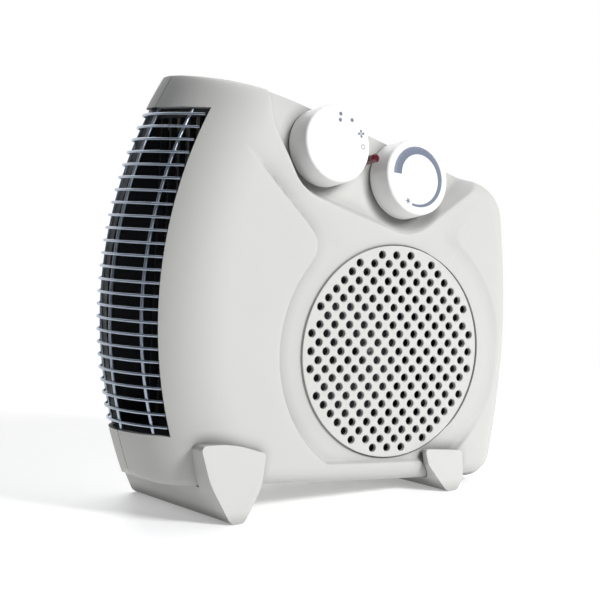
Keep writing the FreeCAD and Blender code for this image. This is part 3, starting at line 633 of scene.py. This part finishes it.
def band_marks(centre_line, half_widths):
    """Quads along a line with a half width at each of its points."""
    result = []
    for i in range(len(centre_line) - 1):
        a = Vector(centre_line[i])
        b = Vector(centre_line[i + 1])
        side = Vector((-(b - a).y, (b - a).x)).normalized()
        result.append([a + side * -half_widths[i], b + side * -half_widths[i + 1],
                       b + side * half_widths[i + 1], a + side * half_widths[i]])
    return [[(p.x, p.y) for p in quad] for quad in result]


def ring_mark(centre):
    """Thin ring: off."""
    ring = circle(centre, RING_R, RING_SIDES)
    return band_marks(ring + ring[:1], [RING_LINE] * (RING_SIDES + 1))


def fan_mark(centre):
    """Four blades: fan only."""
    blades = []
    for i in range(4):
        angle = math.radians(90 * i + FAN_TURN)
        ahead = Vector((math.cos(angle), math.sin(angle)))
        side = Vector((-ahead.y, ahead.x))
        blades.append([tuple(centre + ahead * u + side * v) for u, v in FAN_BLADE])
    return blades


def heat_band():
    """Rising heat: a band that narrows clockwise."""
    line = []
    half_widths = []
    for i in range(BAND_STEPS + 1):
        share = i / BAND_STEPS
        width = BAND_WIDTH[0] + (BAND_WIDTH[1] - BAND_WIDTH[0]) * share
        degrees = BAND_DEGREES[0] + (BAND_DEGREES[1] - BAND_DEGREES[0]) * share
        line.append(on_dial(BAND_R - width / 2, degrees))
        half_widths.append(width / 2)
    return band_marks(line, half_widths)


def frost_star(centre):
    """Three crossing strokes past the thin end of the band."""
    star = []
    for i in range(3):
        angle = math.radians(60 * i + 10)
        tip = Vector((math.cos(angle), math.sin(angle))) * STAR_R
        star += band_marks([centre - tip, centre + tip], [STAR_LINE, STAR_LINE])
    return star


# ---------------------------------------------------------------- materials
GRAIN_SCALE = 1000.0 / 0.6         # grains of 0.6 mm


def colour_ramp(nodes, low, high, from_place, to_place):
    """Colour ramp between two colours."""
    ramp = nodes.new("ShaderNodeValToRGB")
    ramp.color_ramp.elements[0].position = from_place
    ramp.color_ramp.elements[1].position = to_place
    ramp.color_ramp.elements[0].color = (*low, 1)
    ramp.color_ramp.elements[1].color = (*high, 1)
    return ramp


def map_range(nodes, from_values, to_values):
    """Linear, clamped change of one range of values into another."""
    node = nodes.new("ShaderNodeMapRange")
    node.inputs["From Min"].default_value = from_values[0]
    node.inputs["From Max"].default_value = from_values[1]
    node.inputs["To Min"].default_value = to_values[0]
    node.inputs["To Max"].default_value = to_values[1]
    return node


def noise(nodes, links, place, scale, detail):
    """Noise in the object's own space."""
    node = nodes.new("ShaderNodeTexNoise")
    node.inputs["Scale"].default_value = scale
    node.inputs["Detail"].default_value = detail
    links.new(place.outputs["Object"], node.inputs["Vector"])
    return node


def mix_in(nodes, links, base, colour, factor):
    """Mix a fixed colour into a base colour."""
    mix = nodes.new("ShaderNodeMix")
    mix.data_type = "RGBA"
    mix.inputs["B"].default_value = (*colour, 1)
    links.new(factor, mix.inputs["Factor"])
    links.new(base, mix.inputs["A"])
    return mix.outputs["Result"]


def material(name, colour, roughness=0.5, metallic=0.0, grain=0.0, variation=0.04, wear=0.0,
             coat=0.0, transmission=0.0, crease_shade=0.0, shine=0.5):
    """Finish with a little variation of colour and gloss, grain, worn edges and painted shade darkening
    the creases.
    """
    mat = bpy.data.materials.new(name)
    mat.use_nodes = True
    nodes = mat.node_tree.nodes
    links = mat.node_tree.links
    shader = nodes["Principled BSDF"]
    shader.inputs["Metallic"].default_value = metallic
    shader.inputs["Specular IOR Level"].default_value = shine
    shader.inputs["Coat Weight"].default_value = coat
    shader.inputs["Coat Roughness"].default_value = 0.2
    shader.inputs["Transmission Weight"].default_value = transmission
    place = nodes.new("ShaderNodeTexCoord")

    clouds = noise(nodes, links, place, 9.0, 4.0)
    tint = colour_ramp(nodes, [c * (1 - variation) for c in colour],
                       [min(1, c * (1 + variation)) for c in colour], 0.3, 0.7)
    links.new(clouds.outputs["Fac"], tint.inputs["Fac"])
    base = tint.outputs["Color"]

    # painted shade: the colour darkens where ambient occlusion finds creases and recesses close by,
    # standing in for the shade that falls there
    if crease_shade > 0:
        creases = nodes.new("ShaderNodeAmbientOcclusion")
        creases.samples = 4
        creases.inputs["Distance"].default_value = 0.008
        dark = map_range(nodes, (0.5, 0.95), (crease_shade, 0.0))
        links.new(creases.outputs["AO"], dark.inputs["Value"])
        base = mix_in(nodes, links, base, [c * 0.45 for c in colour], dark.outputs["Result"])
    if wear > 0:
        shape = nodes.new("ShaderNodeNewGeometry")
        edges = map_range(nodes, (0.52, 0.62), (0.0, wear))
        links.new(shape.outputs["Pointiness"], edges.inputs["Value"])
        base = mix_in(nodes, links, base, [min(1, c * 1.25 + 0.02) for c in colour],
                      edges.outputs["Result"])
    links.new(base, shader.inputs["Base Color"])

    smears = noise(nodes, links, place, 28.0, 5.0)
    gloss = map_range(nodes, (0.3, 0.7), (max(0.02, roughness - 0.05), min(1.0, roughness + 0.06)))
    links.new(smears.outputs["Fac"], gloss.inputs["Value"])
    links.new(gloss.outputs["Result"], shader.inputs["Roughness"])

    if grain > 0:
        grit = noise(nodes, links, place, GRAIN_SCALE, 2.0)
        bump = nodes.new("ShaderNodeBump")
        bump.inputs["Strength"].default_value = grain
        bump.inputs["Distance"].default_value = 0.0001
        links.new(grit.outputs["Fac"], bump.inputs["Height"])
        links.new(bump.outputs["Normal"], shader.inputs["Normal"])
    return mat


FINISHES = {
    # the shell and the grille get painted shade in their creases and recesses
    "shell_plastic": material("shell_white", (0.50, 0.50, 0.482), roughness=0.6, shine=0.3, grain=0.35,
                              variation=0.012, wear=0.15, crease_shade=1.0),
    "grille_plastic": material("grille_white", (0.52, 0.52, 0.50), roughness=0.6, shine=0.3, grain=0.35,
                               variation=0.012, crease_shade=0.12),
    "knob_plastic": material("knob_white", (0.76, 0.76, 0.75), roughness=0.45, shine=0.3, grain=0.12,
                             variation=0.01, wear=0.2),
    "mark_ink": material("mark_slate", (0.13, 0.155, 0.215), roughness=0.6, grain=0.2, variation=0.08),
    "grille_wire": material("wire_chrome", (0.42, 0.48, 0.56), roughness=0.32, metallic=1.0,
                            variation=0.06, grain=0.05),
    "duct_black": material("duct_black", (0.018, 0.019, 0.022), roughness=0.6, grain=0.4,
                           variation=0.15),
    "mica_board": material("mica_board", (0.36, 0.29, 0.20), roughness=0.55, grain=0.5, variation=0.2),
    "ptc_ceramic": material("ptc_ceramic", (0.30, 0.28, 0.25), roughness=0.8, grain=0.6, variation=0.1),
    "fin_aluminium": material("fin_aluminium", (0.55, 0.56, 0.58), roughness=0.4, metallic=1.0,
                              grain=0.1),
    "terminal_brass": material("terminal_brass", (0.70, 0.52, 0.24), roughness=0.35, metallic=1.0),
    "impeller_grey": material("impeller_grey", (0.05, 0.053, 0.06), roughness=0.5, grain=0.25,
                              variation=0.06, wear=0.3),
    "bright_steel": material("bright_steel", (0.60, 0.60, 0.61), roughness=0.28, metallic=1.0),
    "core_steel": material("core_steel", (0.25, 0.25, 0.26), roughness=0.5, metallic=1.0, grain=0.3),
    "nylon": material("nylon", (0.72, 0.70, 0.64), roughness=0.45),
    "enamelled_copper": material("enamelled_copper", (0.42, 0.13, 0.05), roughness=0.3, metallic=0.7),
    "steatite": material("steatite", (0.74, 0.72, 0.68), roughness=0.6, grain=0.3),
    "lamp_red": material("lamp_red", (0.085, 0.006, 0.014), roughness=0.12, coat=0.6, variation=0.1),
    "lamp_glass": material("lamp_glass", (0.85, 0.80, 0.75), roughness=0.08, transmission=0.9),
    "gland_rubber": material("gland_rubber", (0.02, 0.02, 0.021), roughness=0.7, grain=0.3),
    "lead_brown": material("lead_brown", (0.16, 0.07, 0.03), roughness=0.5),
    "lead_black": material("lead_black", (0.02, 0.02, 0.022), roughness=0.5),
    "lead_blue": material("lead_blue", (0.03, 0.09, 0.30), roughness=0.5),
}

for entry in frame["record"]["subparts"]:
    slots = frame["nodes"][entry["node"]].data.materials
    slots.clear()
    slots.append(FINISHES[entry["material_slot"]])


def finish(obj, slot):
    """Give a piece the finish of a material slot."""
    obj.data.materials.clear()
    obj.data.materials.append(FINISHES[slot])


# ---------------------------------------------------------------- pieces
front = make_shell("front_shell")
finish(front, "shell_plastic")
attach(front, "housing")
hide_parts("front_cover")

disc = make_disc("intake_disc_grille")
finish(disc, "grille_plastic")
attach(disc, "housing")
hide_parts("intake_grille")

mode = make_knob("mode_dial", MODE_FACE)
finish(mode, "knob_plastic")
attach(mode, "mode_control")
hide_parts("mode_knob")

thermostat = make_knob("thermostat_dial", THERMOSTAT_FACE)
finish(thermostat, "knob_plastic")
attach(thermostat, "thermostat_control")
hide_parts("thermostat_knob")

# four positions: off ring, fan blades, one dot, two dots
dots = [circle(on_dial(radius, degrees), DOT_R, DOT_SIDES)
        for radius, degrees in ((18.0, 54), (17.9, 82), (14.2, 82))]
mode_marks = ring_mark(on_dial(17.9, -3)) + fan_mark(on_dial(18.2, 22)) + dots
mode_ink = ink_solid("mode_dial_marks", mode_marks, MODE_FACE)
finish(mode_ink, "mark_ink")
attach(mode_ink, "mode_control")

heat_marks = heat_band() + frost_star(on_dial(17.4, -120))
heat_ink = ink_solid("thermostat_dial_marks", heat_marks, THERMOSTAT_FACE)
finish(heat_ink, "mark_ink")
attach(heat_ink, "thermostat_control")


# ---------------------------------------------------------------- floor, light and camera
FLOOR_R = 0.6                      # metres, as in all of this section
FLOOR_GLOW = 0.25
LIT_POINT = (0, 0, 0.12)


def make_floor(name):
    """Pale round floor that glows a little, as lit paper does."""
    mesh = bpy.data.meshes.new(name)
    rim = [(x, y, 0) for x, y in circle((0, 0), FLOOR_R, 96)]
    mesh.from_pydata(rim, [], [tuple(range(len(rim)))])
    obj = bpy.data.objects.new(name, mesh)
    bpy.context.scene.collection.objects.link(obj)
    paper = material("floor_white", (0.92, 0.92, 0.92), roughness=0.9, variation=0.005, grain=0.1)
    shader = paper.node_tree.nodes["Principled BSDF"]
    shader.inputs["Emission Color"].default_value = (1, 1, 1, 1)
    shader.inputs["Emission Strength"].default_value = FLOOR_GLOW
    mesh.materials.append(paper)
    return obj


def studio_world():
    """Surroundings that go from dark at the front left to white at the back right."""
    world = bpy.data.worlds.new("studio")
    world.use_nodes = True
    nodes = world.node_tree.nodes
    links = world.node_tree.links
    place = nodes.new("ShaderNodeTexCoord")
    toward = nodes.new("ShaderNodeVectorMath")
    toward.operation = "DOT_PRODUCT"
    toward.inputs[1].default_value = (0.60, 0.80, 0.0)
    share = map_range(nodes, (-1.0, 1.0), (0.0, 1.0))
    bright = colour_ramp(nodes, (0.06, 0.065, 0.08), (1.0, 1.0, 1.0), 0.45, 0.85)
    links.new(place.outputs["Generated"], toward.inputs[0])
    links.new(toward.outputs["Value"], share.inputs["Value"])
    links.new(share.outputs["Result"], bright.inputs["Fac"])
    links.new(bright.outputs["Color"], nodes["Background"].inputs["Color"])
    nodes["Background"].inputs["Strength"].default_value = 1.0
    return world


def area_light(name, place, size, power):
    """Square light that points at the heater's middle."""
    data = bpy.data.lights.new(name, "AREA")
    data.shape = "SQUARE"
    data.size = size
    data.energy = power
    obj = bpy.data.objects.new(name, data)
    obj.location = place
    obj.rotation_euler = (Vector(LIT_POINT) - Vector(place)).to_track_quat("-Z", "Y").to_euler()
    bpy.context.scene.collection.objects.link(obj)


def make_camera(place, ahead, right):
    """Camera at a place, from its viewing direction and its right-hand direction."""
    data = bpy.data.cameras.new("camera")
    data.lens = 102
    data.sensor_width = 36
    obj = bpy.data.objects.new("camera", data)
    above = right.cross(ahead)
    axes = Matrix((right, above, -ahead)).transposed().to_4x4()
    obj.matrix_world = Matrix.Translation(place) @ axes
    bpy.context.scene.collection.objects.link(obj)
    return obj


make_floor("floor")
bpy.context.scene.world = studio_world()
area_light("key", (0.42, -1.34, 0.78), 0.4, 25)
area_light("top", (0.2, 0.3, 1.8), 1.4, 6)
area_light("back", (0.5, 1.6, 1.6), 1.0, 12)
bpy.context.scene.camera = make_camera((-0.55746, -0.88412, 0.21073),
                                       Vector((0.53418, 0.84084, -0.08737)),
                                       Vector((0.84286, -0.53770, -0.02155)))
bpy.context.scene.view_settings.view_transform = "Standard"
